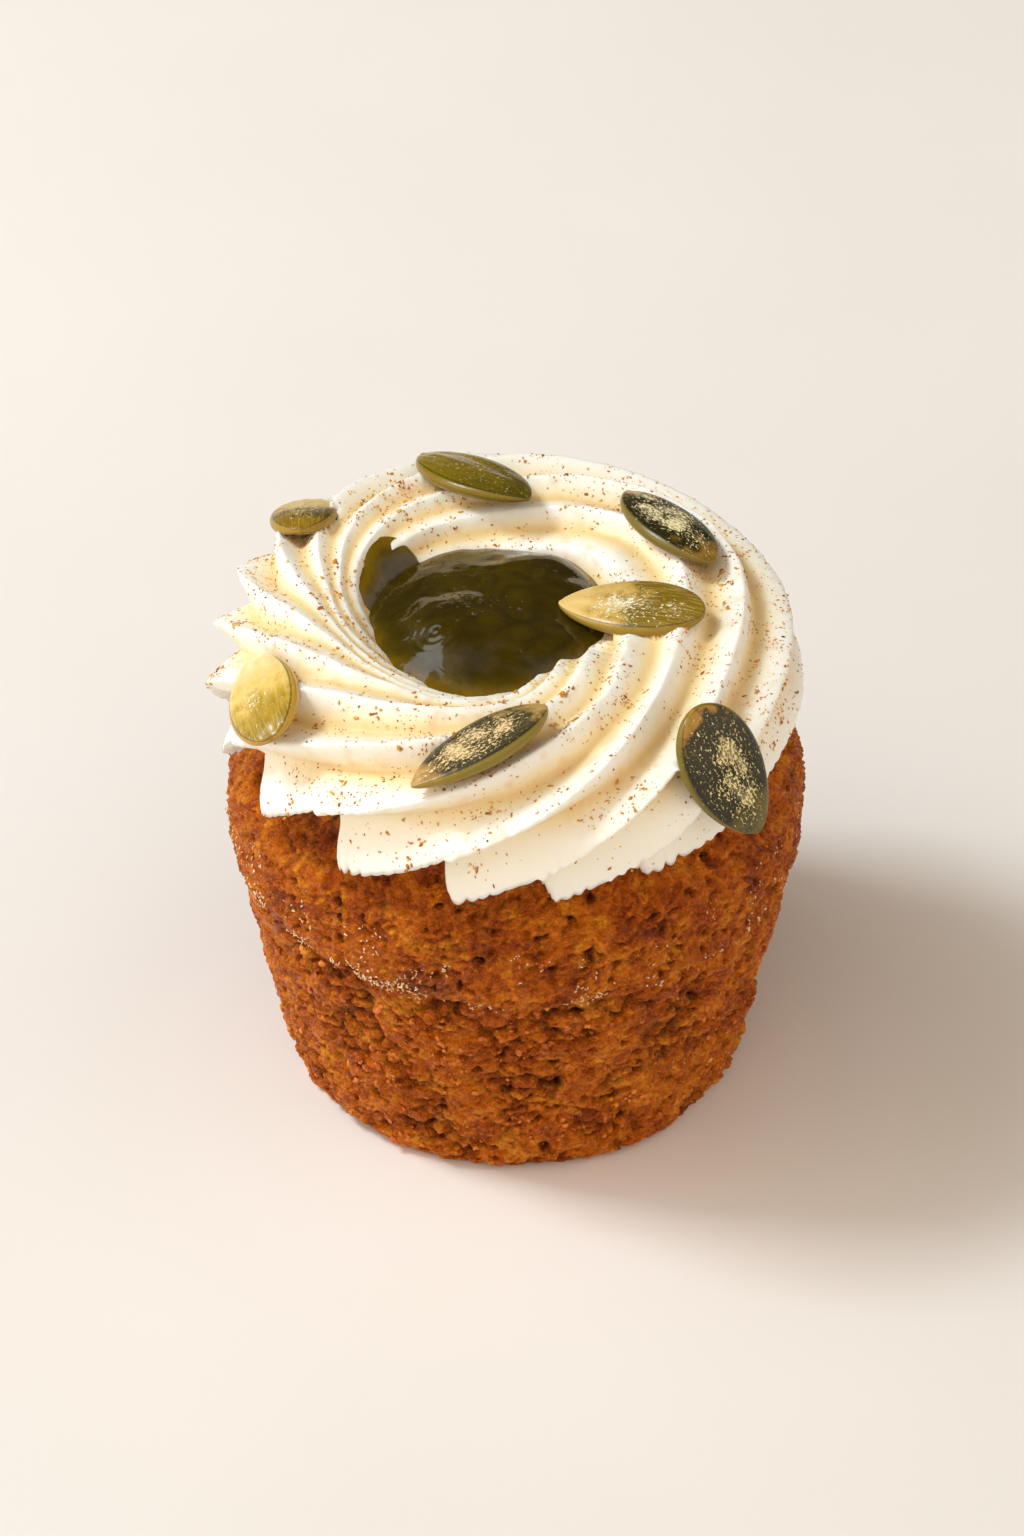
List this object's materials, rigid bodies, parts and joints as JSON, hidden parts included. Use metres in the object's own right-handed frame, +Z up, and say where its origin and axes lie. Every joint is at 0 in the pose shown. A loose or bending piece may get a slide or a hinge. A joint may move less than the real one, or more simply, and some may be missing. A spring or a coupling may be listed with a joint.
{
  "type": "carrot muffin",
  "caption": "Carrot muffin with a piped, twisted ring of white cream, a dark green gel centre and pumpkin seeds.",
  "frame": {"origin": "middle of the cake's flat base, on the surface it stands on", "axes": "+Z up; -Y towards the front, the side with the lowest steps of cream; +X to the right of it"},
  "size_m": [0.0649, 0.0652, 0.064],
  "materials": {
    "cake": "baked crumb with an orange-brown crust",
    "cream": "smooth piped cream with a dusting of cinnamon",
    "gel": "wet, glossy gel",
    "seed": "roasted seed skin, satin"
  },
  "bodies": {
    "root": {"cake": "cake", "cream": "cream", "gel": "gel", "pumpkin_seed_1": "seed", "pumpkin_seed_2": "seed", "pumpkin_seed_3": "seed", "pumpkin_seed_4": "seed", "pumpkin_seed_5": "seed", "pumpkin_seed_6": "seed", "pumpkin_seed_7": "seed"}
  },
  "joints": []
}
